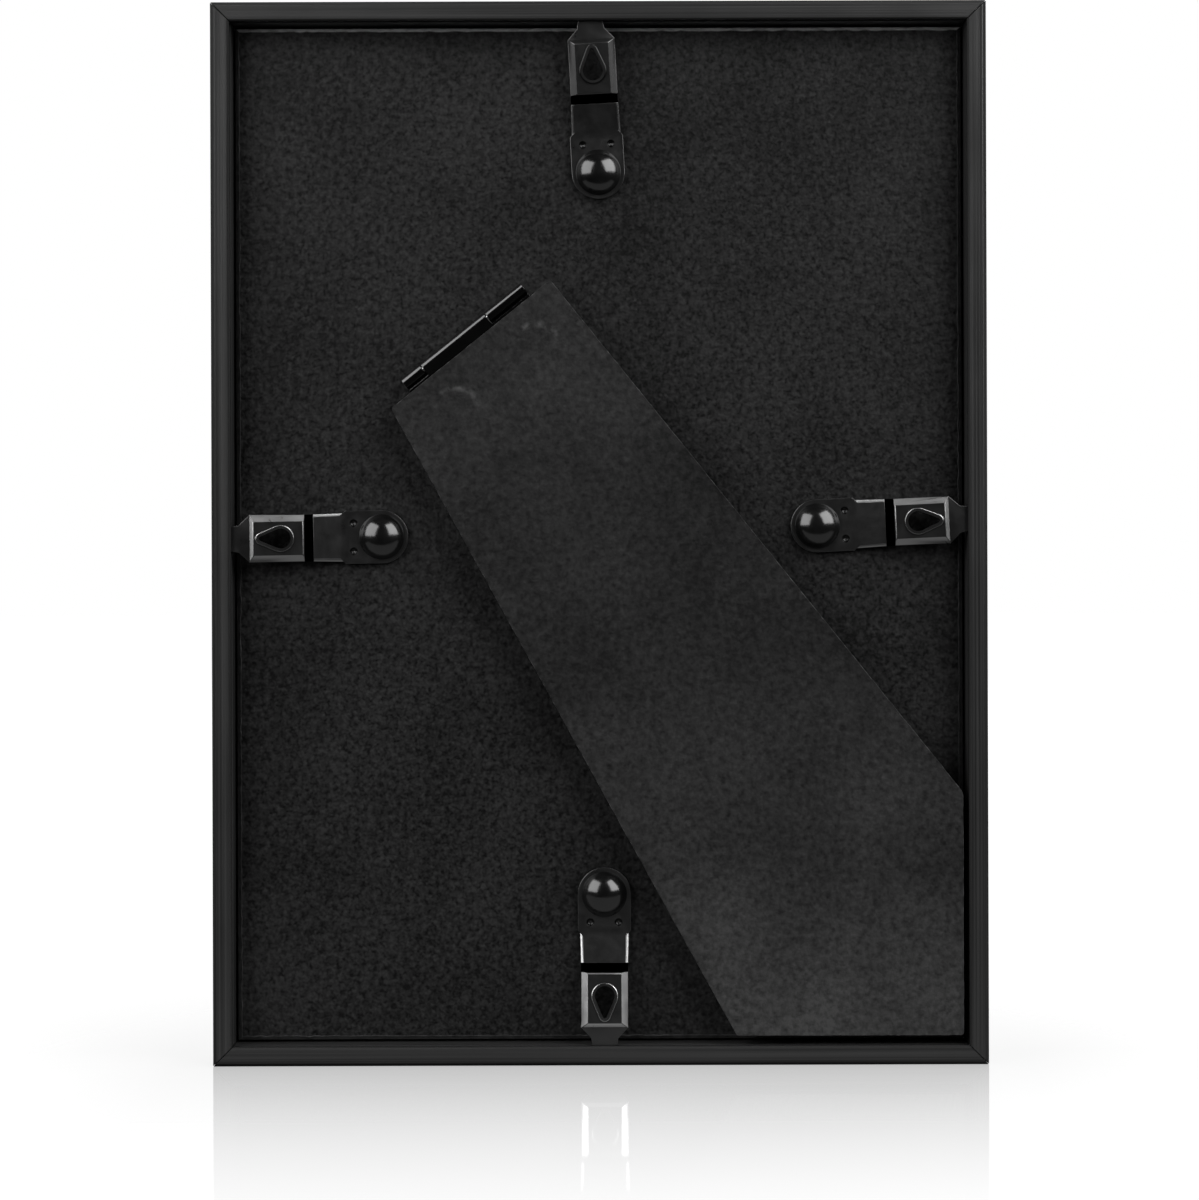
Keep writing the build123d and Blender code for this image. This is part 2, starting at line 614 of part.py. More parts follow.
def hinge_place(spot):
    """Plane on the board at a spot given on the hinge's own axes."""
    return Plane(origin=HINGE.from_local_coords(spot), x_dir=HINGE.x_dir, z_dir=HINGE.z_dir)


for name, spot in BOARD_RIVETS.items():
    with BuildPart(hinge_place(spot)) as board_rivet:
        add(flat_rivet(LEAF_THICKNESS, LEAF_HEAD_RADIUS, LEAF_HEAD_THICKNESS, BOARD_FRONT_H + TAIL_SINK))
    board_rivet.part.label = f"hinge_rivet_board_{name}"
    export_step(board_rivet.part, f"parts/hinge_rivet_board_{name}.step")

strut_head = STRUT_FACE_H - STRUT_HEAD_THICKNESS
strut_tail = STRUT_H - LEAF_THICKNESS - LEAF_HEAD_THICKNESS
for name, spot in STRUT_RIVETS.items():
    with BuildPart(hinge_place(spot)) as strut_rivet:
        add(flat_rivet(strut_head, STRUT_HEAD_RADIUS, STRUT_HEAD_THICKNESS, strut_tail))
    strut_rivet.part.label = f"hinge_rivet_strut_{name}"
    export_step(strut_rivet.part, f"parts/hinge_rivet_strut_{name}.step")

# Strut: its right edge is square to the hinge, its left edge passes the bottom clip's rivet at a gap,
# and its two feet follow the rails
foot_x = OPENING_WIDTH / 2 - STRUT_SIDE_GAP
foot_z = STRUT_FOOT_GAP - OPENING_HEIGHT / 2
top_middle = HINGE_SPOT + down_strut * STRUT_TOP_GAP
top_left = top_middle - along_hinge * (strut_top_width / 2)
top_right = top_middle + along_hinge * (strut_top_width / 2)
to_rivet = CLIP_SPOTS["bottom"] - top_left
passing = asin((DOME_RADIUS + STRUT_RIVET_GAP) / to_rivet.length)
flared = to_rivet.normalized().rotate(Axis.Z, degrees(passing))
elbow = top_right + down_strut * ((foot_x - top_right.X) / down_strut.X)
foot_corner = Vector(foot_x, foot_z)
foot_left = top_left + flared * ((foot_z - top_left.Y) / flared.Y)
strut_corners = [top_left, top_right, elbow, foot_corner, foot_left]
strut_rounds = [STRUT_ELBOW_ROUND if corner is elbow else STRUT_CORNER_ROUND for corner in strut_corners]

with BuildPart() as strut:
    with BuildSketch(FACE.offset(STRUT_H)):
        with BuildLine():
            FilletPolyline(*strut_corners, radius=strut_rounds, close=True)
        make_face()
    extrude(amount=STRUT_THICKNESS)
    with BuildSketch(HINGE.offset(STRUT_H)):
        with Locations(*STRUT_RIVETS.values()):
            Circle(LEAF_SHANK_RADIUS + SHANK_CLEARANCE)
    extrude(amount=STRUT_THICKNESS, mode=Mode.SUBTRACT)
    with BuildSketch(HINGE.offset(STRUT_FACE_H)):
        with Locations(*STRUT_RIVETS.values()):
            Circle(STRUT_HEAD_RADIUS + HEAD_CLEARANCE)
    extrude(amount=-STRUT_HEAD_THICKNESS, mode=Mode.SUBTRACT)
strut.part.label = "strut_panel"
export_step(strut.part, "parts/strut_panel.step")

# Cover paper of the strut, lifted a little by the two rivet heads under it
with BuildPart() as strut_cover:
    with BuildSketch(FACE.offset(STRUT_FACE_H)):
        with BuildLine():
            FilletPolyline(*strut_corners, radius=strut_rounds, close=True)
        make_face()
    extrude(amount=STRUT_COVER)
    with BuildSketch(HINGE.offset(STRUT_FACE_H + STRUT_COVER)):
        with Locations(*STRUT_RIVETS.values()):
            Circle(HEAD_PRINT_RADIUS)
    extrude(amount=HEAD_PRINT_HEIGHT, taper=HEAD_PRINT_TAPER)
strut_cover.part.label = "strut_cover"
export_step(strut_cover.part, "parts/strut_cover.step")
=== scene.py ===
"""Dresses the easel back photo frame and sets up its studio portrait, seen from behind."""

import logging
import math
from dataclasses import dataclass
from enum import Enum

import bmesh
import bpy
from mathutils import Matrix, Vector, noise

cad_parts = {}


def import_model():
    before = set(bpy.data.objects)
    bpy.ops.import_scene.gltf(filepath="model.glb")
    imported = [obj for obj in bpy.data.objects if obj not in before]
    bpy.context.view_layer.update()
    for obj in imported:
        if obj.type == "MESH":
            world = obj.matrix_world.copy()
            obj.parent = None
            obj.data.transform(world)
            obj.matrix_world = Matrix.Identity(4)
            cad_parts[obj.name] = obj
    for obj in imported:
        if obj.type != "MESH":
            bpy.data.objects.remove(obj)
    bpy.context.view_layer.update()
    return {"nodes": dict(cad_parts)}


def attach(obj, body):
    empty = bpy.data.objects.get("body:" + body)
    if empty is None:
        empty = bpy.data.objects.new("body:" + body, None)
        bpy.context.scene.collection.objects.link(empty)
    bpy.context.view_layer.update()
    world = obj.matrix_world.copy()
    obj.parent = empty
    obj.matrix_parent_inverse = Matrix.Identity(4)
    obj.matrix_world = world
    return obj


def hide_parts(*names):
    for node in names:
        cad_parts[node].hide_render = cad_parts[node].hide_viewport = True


LOG = logging.getLogger("easel_frame")
MM = 0.001
MERGE_GAP = 1e-6
Socket = bpy.types.NodeSocket
Span = tuple[float, float]

# Where most of a noise's values lie
NOISE_SPAN = (0.3, 0.7)

# The backs of the covered board and of the folded strut
BOARD_BACK = -2.3 * MM
STRUT_BACK = -6.95 * MM

# A face's mark: above 0 it shows rubbing or is polished, and on some edges and flanges that is also a
# painted highlight; below 0 it is painted shade, darker and with less sheen
WEAR_AND_LIGHT_MARK = "edge_wear_and_light"
# Painted shade: the faces in a clip's deep fold are drawn black and without sheen
FOLD_SHADE = -1.0
# Painted shade: the sloped faces of a clip's dimples, and of the top clip's hanging hole, are drawn darker
# with less sheen
PIT_SHADE = -0.7

# Parts of a face's normal past which it counts as flat, or as facing up
FLAT_FACE = 0.99
FACES_UP = 0.3


class Side(Enum):
    """The four sides of the frame, as seen from behind."""

    TOP = "top"
    RIGHT = "right"
    BOTTOM = "bottom"
    LEFT = "left"


class Run(Enum):
    """The way that a rail's fine streaks run."""

    ACROSS = "across"
    UPRIGHT = "upright"


@dataclass(frozen=True)
class ClipSpot:
    """Where a clip's rivet stands and which way the clip points at rest."""

    x: float
    z: float
    heading: float


CLIPS = {
    Side.TOP: ClipSpot(0.0, 157.8 * MM, 93.0),
    Side.RIGHT: ClipSpot(38.65 * MM, 94.95 * MM, 2.5),
    Side.BOTTOM: ClipSpot(0.67 * MM, 29.7 * MM, 270.0),
    Side.LEFT: ClipSpot(-38.65 * MM, 93.25 * MM, 180.8),
}

# How polished each clip's flanges are where they face up, and the share of it on the other slopes; set
# clip by clip, this is a painted highlight as well as polished lacquer
FLANGE_POLISH_AND_HIGHLIGHT = {
    Side.TOP: (0.0, 0.0),
    Side.RIGHT: (1.0, 0.4),
    Side.BOTTOM: (1.0, 1.0),
    Side.LEFT: (1.0, 0.4),
}


class NodeWeb:
    """The node tree of one material, with short ways to add what the finishes need."""

    def __init__(self, name: str) -> None:
        """Starts a material with a principled shader on Object coordinates.

        Args:
            name: The material's name.
        """
        self.material = bpy.data.materials.new(name)
        self.material.use_nodes = True
        self.tree = self.material.node_tree
        self.tree.nodes.clear()
        self.output = self.tree.nodes.new("ShaderNodeOutputMaterial")
        self.shader = self.tree.nodes.new("ShaderNodeBsdfPrincipled")
        self.link(self.shader.outputs["BSDF"], self.output.inputs["Surface"])
        self.place = self.tree.nodes.new("ShaderNodeTexCoord").outputs["Object"]

    def link(self, source: Socket, target: Socket) -> None:
        """Joins two sockets."""
        self.tree.links.new(source, target)

    def fill(self, target: Socket, value: Socket | float | tuple) -> None:
        """Sets a socket to a plain value, or joins it to another socket.

        Args:
            target: The input to fill.
            value: A socket, number or tuple.
        """
        if isinstance(value, Socket):
            self.link(value, target)
        else:
            target.default_value = value

    def turned(self, stretch: tuple[float, float, float], turn_y: float = 0.0) -> Socket:
        """Object coordinates turned about Y, then stretched.

        Args:
            stretch: Scale along each axis; a smaller number lengthens the pattern that way.
            turn_y: Turn about Y, in degrees.

        Returns:
            The mapped coordinates.
        """
        turn = self.tree.nodes.new("ShaderNodeMapping")
        turn.inputs["Rotation"].default_value = (0.0, math.radians(turn_y), 0.0)
        self.link(self.place, turn.inputs["Vector"])
        scale = self.tree.nodes.new("ShaderNodeMapping")
        scale.inputs["Scale"].default_value = stretch
        self.link(turn.outputs["Vector"], scale.inputs["Vector"])
        return scale.outputs["Vector"]

    def grain(self, place: Socket, scale: float, detail: float = 2.0, roughness: float = 0.5) -> Socket:
        """Soft cloudy noise between 0 and 1.

        Args:
            place: Coordinates that the noise is laid on.
            scale: Cells per metre.
            detail: Finer layers on top.
            roughness: Strength of those layers.

        Returns:
            The noise's value.
        """
        node = self.tree.nodes.new("ShaderNodeTexNoise")
        node.inputs["Scale"].default_value = scale
        node.inputs["Detail"].default_value = detail
        node.inputs["Roughness"].default_value = roughness
        self.link(place, node.inputs["Vector"])
        return node.outputs["Fac"]

    def pebbles(self, place: Socket, scale: float, blur: float = 0.6) -> Socket:
        """Rounded cells, low in the middle and high along the creases.

        Args:
            place: Coordinates that the cells are laid on.
            scale: Cells per metre.
            blur: How soft the creases are.

        Returns:
            The distance from the middle of each cell.
        """
        node = self.tree.nodes.new("ShaderNodeTexVoronoi")
        node.feature = "SMOOTH_F1"
        node.inputs["Scale"].default_value = scale
        node.inputs["Smoothness"].default_value = blur
        self.link(place, node.inputs["Vector"])
        return node.outputs["Distance"]

    def sums(self, how: str, first: Socket | float, second: Socket | float) -> Socket:
        """One step of arithmetic.

        Args:
            how: The operation, by Blender's name for it.
            first: First number or socket.
            second: Second number or socket.

        Returns:
            The result.
        """
        node = self.tree.nodes.new("ShaderNodeMath")
        node.operation = how
        self.fill(node.inputs[0], first)
        self.fill(node.inputs[1], second)
        return node.outputs[0]

    def weighted(self, *parts: tuple[Socket, float]) -> Socket:
        """Sum of sockets, each times its own weight.

        Args:
            parts: The sockets and their weights.

        Returns:
            The sum.
        """
        total: Socket | float = 0.0
        for socket, weight in parts:
            total = self.sums("ADD", total, self.sums("MULTIPLY", socket, weight))
        return total

    def spread(self, value: Socket, old: Span, new: Span = (0.0, 1.0)) -> Socket:
        """Moves a value from one range to another, kept inside it.

        Args:
            value: The value to move.
            old: Range that it comes from.
            new: Range that it goes to.

        Returns:
            The moved value.
        """
        node = self.tree.nodes.new("ShaderNodeMapRange")
        node.inputs["From Min"].default_value, node.inputs["From Max"].default_value = old
        node.inputs["To Min"].default_value, node.inputs["To Max"].default_value = new
        self.link(value, node.inputs["Value"])
        return node.outputs["Result"]

    def tones(self, share: Socket, dark: tuple, light: tuple) -> Socket:
        """Colour between two tones.

        Args:
            share: 0 for the dark tone, 1 for the light one.
            dark: Red, green and blue of the dark tone.
            light: Red, green and blue of the light tone.

        Returns:
            The mixed colour.
        """
        node = self.tree.nodes.new("ShaderNodeMix")
        node.data_type = "RGBA"
        node.inputs["A"].default_value = (*dark, 1.0)
        node.inputs["B"].default_value = (*light, 1.0)
        self.link(share, node.inputs["Factor"])
        return node.outputs["Result"]

    def blend(self, share: Socket, under: Socket, over: tuple) -> Socket:
        """Lays a plain tone over a colour.

        Args:
            share: How much of the plain tone shows.
            under: The colour below.
            over: Red, green and blue of the plain tone.

        Returns:
            The mixed colour.
        """
        node = self.tree.nodes.new("ShaderNodeMix")
        node.data_type = "RGBA"
        node.inputs["B"].default_value = (*over, 1.0)
        self.link(share, node.inputs["Factor"])
        self.link(under, node.inputs["A"])
        return node.outputs["Result"]

    def marked(self, name: str) -> Socket:
        """The value of one of the mesh's own attributes."""
        node = self.tree.nodes.new("ShaderNodeAttribute")
        node.attribute_name = name
        return node.outputs["Fac"]

    def away_from(self, spot: tuple[float, float, float]) -> Socket:
        """Distance from a spot.

        Args:
            spot: The spot, in metres.

        Returns:
            Distance in metres.
        """
        node = self.tree.nodes.new("ShaderNodeVectorMath")
        node.operation = "DISTANCE"
        node.inputs[1].default_value = spot
        self.link(self.place, node.inputs[0])
        return node.outputs["Value"]

    def height_z(self) -> Socket:
        """Height up the frame."""
        node = self.tree.nodes.new("ShaderNodeSeparateXYZ")
        self.link(self.place, node.inputs["Vector"])
        return node.outputs["Z"]

    def bump(
        self,
        height: Socket,
        depth: float,
        strength: float = 1.0,
        under: Socket | None = None,
    ) -> Socket:
        """Normals of a fine relief.

        Args:
            height: Height of the relief, from 0 to 1.
            depth: Metres that a height of 1 stands for.
            strength: Share of the relief that is used.
            under: Normals that the relief is laid on.

        Returns:
            The bent normals.
        """
        node = self.tree.nodes.new("ShaderNodeBump")
        node.inputs["Distance"].default_value = depth
        node.inputs["Strength"].default_value = strength
        self.link(height, node.inputs["Height"])
        if under is not None:
            self.link(under, node.inputs["Normal"])
        return node.outputs["Normal"]

    def set(self, **values: Socket | float | tuple) -> None:
        """Fills the shader's inputs; a name's underscores stand for spaces.

        Args:
            values: Input names and what goes into them.
        """
        for name, value in values.items():
            self.fill(self.shader.inputs[name.replace("_", " ")], value)


def grey(level: float, warmth: float = 0.0) -> tuple[float, float, float]:
    """A near neutral tone.

    Args:
        level: Linear brightness.
        warmth: Share by which red rises and blue falls.

    Returns:
        Red, green and blue.
    """
    return (level * (1 + warmth), level, level * (1 - warmth))


@dataclass(frozen=True)
class LeatherGrainPaper:
    """Black paper with a pebbly leather grain, lighter grey along its edges, partly rubbing and partly
    painted highlight, and dented by the left clip.
    """

    lightest: float = 0.01584
    pebble: float = 1250.0
    coarse: float = 937.5
    fine: float = 2125.0
    pebble_weight: float = 0.25
    coarse_weight: float = 1.2
    fine_weight: float = 0.8
    contrast: Span = (0.75, 1.5)
    depth: float = 0.06 * MM
    cloud: float = 45.0
    cloud_weight: float = 0.7
    cloud_floor: float = 0.65
    sheen: float = 0.15
    roughness: Span = (0.46, 0.6)
    # Painted highlight: the grey that the cover's marked edges are painted, as rubbing and as light
    # catching them
    rubbed_and_lit_tone: float = 0.34
    edge_mark_break: float = 700.0
    dents: tuple = ((-39.1 * MM, 98.9 * MM), (-40.2 * MM, 87.1 * MM))
    dent_radius: float = 0.5 * MM
    dent_depth: float = 0.12 * MM

    def make(self) -> bpy.types.Material:
        """Builds the finish."""
        web = NodeWeb("leather_grain_paper")
        cells = web.spread(web.pebbles(web.place, self.pebble), (0.15, 0.6), (1.0, 0.0))
        coarse = web.grain(web.place, self.coarse, detail=1.0)
        fine = web.grain(web.place, self.fine, detail=1.0)
        relief = web.weighted(
            (coarse, self.coarse_weight),
            (fine, self.fine_weight),
            (cells, self.pebble_weight),
        )
        cloud = web.weighted((web.grain(web.place, self.cloud, detail=3.0), self.cloud_weight))
        share = web.sums("MULTIPLY", relief, web.sums("ADD", cloud, self.cloud_floor))
        light = web.spread(share, self.contrast)
        paper = web.tones(light, grey(0.0), grey(self.lightest))
        # Painted highlight together with rubbing along the marked edges, broken up by noise
        ragged = web.spread(web.grain(web.place, self.edge_mark_break, detail=3.0), (0.3, 0.6), (0.55, 1.0))
        rub_and_highlight = web.sums("MULTIPLY", web.marked(WEAR_AND_LIGHT_MARK), ragged)
        normal = web.bump(relief, self.depth)
        for x, z in self.dents:
            away = web.away_from((x, BOARD_BACK, z))
            hollow = web.spread(away, (0.0, self.dent_radius))
            normal = web.bump(hollow, self.dent_depth, under=normal)
        web.set(
            Base_Color=web.blend(rub_and_highlight, paper, grey(self.rubbed_and_lit_tone)),
            Roughness=web.spread(fine, NOISE_SPAN, self.roughness),
            Specular_IOR_Level=self.sheen,
            Normal=normal,
        )
        return web.material


@dataclass(frozen=True)
class FineGrainPaper:
    """Finer, flatter black paper, painted paler towards its foot and darker across its middle as painted
    light, showing rubbing at cuts, and with lighter broken rings over the rivets below it that are
    scuffing and painted highlight.
    """

    darkest: float = 0.0017
    lightest: float = 0.0357
    coarse: float = 900.0
    fine: float = 2100.0
    coarse_weight: float = 0.9
    fine_weight: float = 0.7
    contrast: Span = (0.5, 1.8)
    depth: float = 0.08 * MM
    cloud: float = 40.0
    cloud_floor: float = 0.5
    sheen: float = 0.18
    roughness: Span = (0.5, 0.62)
    rubbed_and_lit_tone: float = 0.06
    edge_mark_break: float = 900.0
    ring_share: float = 0.8
    scuff_break: float = 620.0
    # Painted light: the paper is paler towards its foot and darker across its middle
    foot: Span = (70.0 * MM, 15.0 * MM)
    foot_light_share: float = 1.8
    head: Span = (85.0 * MM, 118.0 * MM)
    middle_shade_share: float = 0.85
    prints: tuple = ((-24.98 * MM, 115.71 * MM), (-10.94 * MM, 126.97 * MM))
    print_radius: float = 3.7 * MM
    print_line: float = 0.8 * MM
    print_fade: Span = (-0.5 * MM, 2.5 * MM)

    def scuffs_and_highlights(self, web: NodeWeb) -> Socket:
        """Broken lighter rings over the upper half of each rivet head: scuffing, and a painted highlight
        along the print's upper edge.

        Args:
            web: The finish that they belong to.

        Returns:
            Above 0 on the rings, which are scuffing and painted highlight.
        """
        patches = web.grain(web.place, self.scuff_break, detail=4.0)
        broken = web.spread(patches, (0.42, 0.66), (0.0, self.ring_share))
        total: Socket | float = 0.0
        low, high = self.print_fade
        for x, z in self.prints:
            away = web.away_from((x, STRUT_BACK, z))
            off_line = web.sums("ABSOLUTE", web.sums("SUBTRACT", away, self.print_radius), 0.0)
            ring = web.spread(off_line, (0.0, self.print_line), (1.0, 0.0))
            # Painted highlight: only the upper half of each ring, where the light falls, is kept
            upper = web.spread(web.height_z(), (z + low, z + high))
            total = web.sums("ADD", total, web.sums("MULTIPLY", ring, upper))
        return web.sums("MULTIPLY", total, broken)

    def make(self) -> bpy.types.Material:
        """Builds the finish."""
        web = NodeWeb("fine_grain_paper")
        coarse = web.grain(web.place, self.coarse, detail=1.0)
        fine = web.grain(web.place, self.fine, detail=2.0, roughness=0.6)
        cloud = web.grain(web.place, self.cloud, detail=2.0)
        speck = web.weighted((coarse, self.coarse_weight), (fine, self.fine_weight))
        # Painted light: brightness set by height, paler at the foot and darker across the middle
        foot = web.spread(web.height_z(), self.foot, (1.0, self.foot_light_share))
        head = web.spread(web.height_z(), self.head, (self.middle_shade_share, 1.0))
        clouded = web.sums("MULTIPLY", speck, web.sums("ADD", cloud, self.cloud_floor))
        share = web.sums("MULTIPLY", clouded, web.sums("MULTIPLY", foot, head))
        light = web.spread(share, self.contrast)
        paper = web.tones(light, grey(self.darkest), grey(self.lightest))
        ragged = web.spread(web.grain(web.place, self.edge_mark_break, detail=3.0), (0.48, 0.66))
        # Rubbing at the cuts, and the rings' scuffing and painted highlight
        wear_and_light = web.sums("MAXIMUM", web.sums("MULTIPLY", web.marked(WEAR_AND_LIGHT_MARK), ragged), self.scuffs_and_highlights(web))
        web.set(
            Base_Color=web.blend(wear_and_light, paper, grey(self.rubbed_and_lit_tone)),
            Roughness=web.spread(cloud, NOISE_SPAN, self.roughness),
            Specular_IOR_Level=self.sheen,
            Normal=web.bump(speck, self.depth),
        )
        return web.material


@dataclass(frozen=True)
class StreakedRailBlack:
    """Satin black moulding with fine streaks that run along the rail, and duller rounded edges."""

    run: Run
    darkest: float = 0.0066
    lightest: float = 0.0192
    fine: float = 3400.0
    coarse: float = 1050.0
    length: float = 7.0
    cloud: float = 60.0
    sheen: float = 0.5
    roughness: Span = (0.3, 0.42)
    worn_sheen: float = 0.12
    worn_roughness: float = 0.75
    depth: float = 0.03 * MM

    def streaks(self, web: NodeWeb, width: float) -> Socket:
        """Streaks along the rail.

        Args:
            web: The finish that they belong to.
            width: Streaks per metre, across the rail.

        Returns:
            The streaks' noise.
        """
        across = (self.length, width, width)
        upright = (width, width, self.length)
        place = web.turned(across if self.run is Run.ACROSS else upright)
        return web.grain(place, 1.0, detail=2.0, roughness=0.6)

    def make(self) -> bpy.types.Material:
        """Builds the finish."""
        web = NodeWeb(f"streaked_rail_{self.run.value}")
        both = web.sums("ADD", self.streaks(web, self.fine), self.streaks(web, self.coarse))
        cloud = web.grain(web.place, self.cloud, detail=3.0)
        share = web.spread(both, (0.75, 1.25))
        satin = web.spread(web.sums("ADD", both, cloud), (1.1, 1.9), self.roughness)
        dull = web.marked(WEAR_AND_LIGHT_MARK)
        web.set(
            Base_Color=web.tones(share, grey(self.darkest), grey(self.lightest)),
            Roughness=web.sums("MAXIMUM", satin, web.sums("MULTIPLY", dull, self.worn_roughness)),
            Specular_IOR_Level=web.spread(dull, (0.0, 1.0), (self.sheen, self.worn_sheen)),
            Normal=web.bump(both, self.depth),
        )
        return web.material


@dataclass(frozen=True)
class BlackLacquer:
    """Glossy black lacquer with a faint orange peel; a mark of 1 is polished and brightens highlights, and
    the lowest mark is painted shade, black and without sheen.
    """

    name: str
    gloss: float
    tone: float
    shine: float = 0.6
    index: float = 1.5
    polish_and_highlight_index: float = 3.2
    peel: float = 1300.0
    peel_depth: float = 0.02 * MM
    smear: float = 350.0

    def make(self) -> bpy.types.Material:
        """Builds the finish."""
        web = NodeWeb(self.name)
        peel = web.grain(web.place, self.peel, detail=2.0)
        smear = web.grain(web.place, self.smear, detail=4.0, roughness=0.65)
        mark = web.marked(WEAR_AND_LIGHT_MARK)
        # Painted shade: a negative mark darkens the colour and takes the sheen away; a positive mark
        # raises the index, a painted highlight on the flanges as well as polishing
        unshaded = web.spread(mark, (FOLD_SHADE, 0.0))
        web.set(
            Base_Color=web.tones(web.sums("MULTIPLY", smear, unshaded), grey(0.0), grey(self.tone * 2.0)),
            Roughness=web.spread(smear, NOISE_SPAN, (self.gloss * 0.9, self.gloss * 1.15)),
            Specular_IOR_Level=web.sums("MULTIPLY", unshaded, self.shine),
            IOR=web.spread(mark, (0.0, 1.0), (self.index, self.polish_and_highlight_index)),
            Normal=web.bump(peel, self.peel_depth, strength=0.6),
        )
        return web.material


@dataclass(frozen=True)
class PressedBoard:
    """Pressed fibre board, seen at its cut edges and on the hidden side."""

    name: str
    tone: float
    warmth: float = 0.0
    layers: tuple[float, float, float] = (260.0, 4200.0, 260.0)
    fibre: float = 2100.0
    sheen: float = 0.3
    roughness: Span = (0.75, 0.92)
    depth: float = 0.08 * MM

    def make(self) -> bpy.types.Material:
        """Builds the finish."""
        web = NodeWeb(self.name)
        layers = web.grain(web.turned(self.layers), 1.0, detail=3.0, roughness=0.6)
        fibre = web.grain(web.place, self.fibre, detail=4.0, roughness=0.7)
        share = web.weighted((layers, 0.5), (fibre, 0.5))
        web.set(
            Base_Color=web.tones(
                web.spread(share, (0.35, 0.65)),
                grey(self.tone * 0.7, self.warmth),
                grey(self.tone * 1.3, self.warmth),
            ),
            Roughness=web.spread(fibre, NOISE_SPAN, self.roughness),
            Specular_IOR_Level=self.sheen,
            Normal=web.bump(share, self.depth),
        )
        return web.material


@dataclass(frozen=True)
class PrintPaper:
    """Blank print paper with a faint tooth."""

    tone: float = 0.78
    tooth: float = 2600.0
    cloud: float = 30.0
    roughness: Span = (0.5, 0.62)
    depth: float = 0.02 * MM

    def make(self) -> bpy.types.Material:
        """Builds the finish."""
        web = NodeWeb("print_paper")
        tooth = web.grain(web.place, self.tooth, detail=3.0)
        cloud = web.grain(web.place, self.cloud, detail=2.0)
        web.set(
            Base_Color=web.tones(cloud, grey(self.tone * 0.96, 0.015), grey(self.tone, 0.01)),
            Roughness=web.spread(tooth, NOISE_SPAN, self.roughness),
            Normal=web.bump(tooth, self.depth),
        )
        return web.material


@dataclass(frozen=True)
class PaneGlass:
    """Clear thin picture glass: a faint sheen over what lies behind it, with slight smears."""

    sheen: float = 0.1
    tint: tuple[float, float, float] = (0.6, 0.65, 0.63)
    smear: float = 26.0
    roughness: Span = (0.01, 0.05)

    def make(self) -> bpy.types.Material:
        """Builds the finish."""
        web = NodeWeb("pane_glass")
        smear = web.grain(web.place, self.smear, detail=4.0, roughness=0.6)
        web.set(
            Base_Color=(*self.tint, 1.0),
            Metallic=1.0,
            Roughness=web.spread(smear, (0.45, 0.8), self.roughness),
            Alpha=self.sheen,
        )
        return web.material


@dataclass(frozen=True)
class DrawnSteel:
    """Bright drawn wire with marks along its length."""

    turn: float
    marks: tuple[float, float, float] = (60.0, 5000.0, 5000.0)
    darkest: float = 0.32
    lightest: float = 0.45
    roughness: Span = (0.25, 0.4)
    depth: float = 0.01 * MM

    def make(self) -> bpy.types.Material:
        """Builds the finish."""
        web = NodeWeb("drawn_steel")
        marks = web.grain(web.turned(self.marks, turn_y=self.turn), 1.0, detail=3.0)
        web.set(
            Base_Color=web.tones(marks, grey(self.darkest), grey(self.lightest)),
            Metallic=1.0,
            Roughness=web.spread(marks, NOISE_SPAN, self.roughness),
            Normal=web.bump(marks, self.depth),
        )
        return web.material


@dataclass(frozen=True)
class MouldedGrey:
    """Plain moulded grey plastic of the hidden corner keys."""

    tone: float = 0.2
    spark: float = 1500.0
    roughness: Span = (0.45, 0.55)
    depth: float = 0.02 * MM

    def make(self) -> bpy.types.Material:
        """Builds the finish."""
        web = NodeWeb("moulded_grey")
        spark = web.grain(web.place, self.spark, detail=2.0)
        web.set(
            Base_Color=web.tones(spark, grey(self.tone * 0.9), grey(self.tone * 1.1)),
            Roughness=web.spread(spark, NOISE_SPAN, self.roughness),
            Normal=web.bump(spark, self.depth),
        )
        return web.material


def dress(node: bpy.types.Object, material: bpy.types.Material) -> None:
    """Puts one material on every face of an object.

    Args:
        node: The object to dress.
        material: Its finish.
    """
    node.data.materials.clear()
    node.data.materials.append(material)


def placed(
    name: str,
    mesh: bmesh.types.BMesh,
    material: bpy.types.Material,
    smooth_angle: float,
) -> bpy.types.Object:
    """Turns a bmesh into an object at the origin, with smooth faces that break at sharp edges.

    Args:
        name: The object's name.
        mesh: Its shape, which is used up.
        material: Its finish.
        smooth_angle: Angle in degrees past which an edge stays sharp.

    Returns:
        The new object.
    """
    for face in mesh.faces:
        face.smooth = True
    data = bpy.data.meshes.new(name)
    mesh.to_mesh(data)
    mesh.free()
    data.set_sharp_from_angle(angle=math.radians(smooth_angle))
    piece = bpy.data.objects.new(name, data)
    bpy.context.scene.collection.objects.link(piece)
    dress(piece, material)
    return piece


@dataclass(frozen=True)
class Fray:
    """Roughness of straight die cuts: the height that they are at, and how far they stray."""

    height_y: float
    step: float
    depth: float
    waves: float = 900.0
    least: float = 4.0 * MM
    level_gap: float = 0.01 * MM
    least_angle: float = 0.3

    def pick(self, mesh: bmesh.types.BMesh) -> list[bmesh.types.BMEdge]:
        """Finds the long straight cuts.

        Args:
            mesh: The shape to look through.

        Returns:
            Its long, sharp edges at this height.
        """
        picked = []
        for edge in mesh.edges:
            level = all(abs(vert.co.y - self.height_y) < self.level_gap for vert in edge.verts)
            if level and edge.calc_length() > self.least and edge.calc_face_angle(0.0) > self.least_angle:
                picked.append(edge)
        return picked


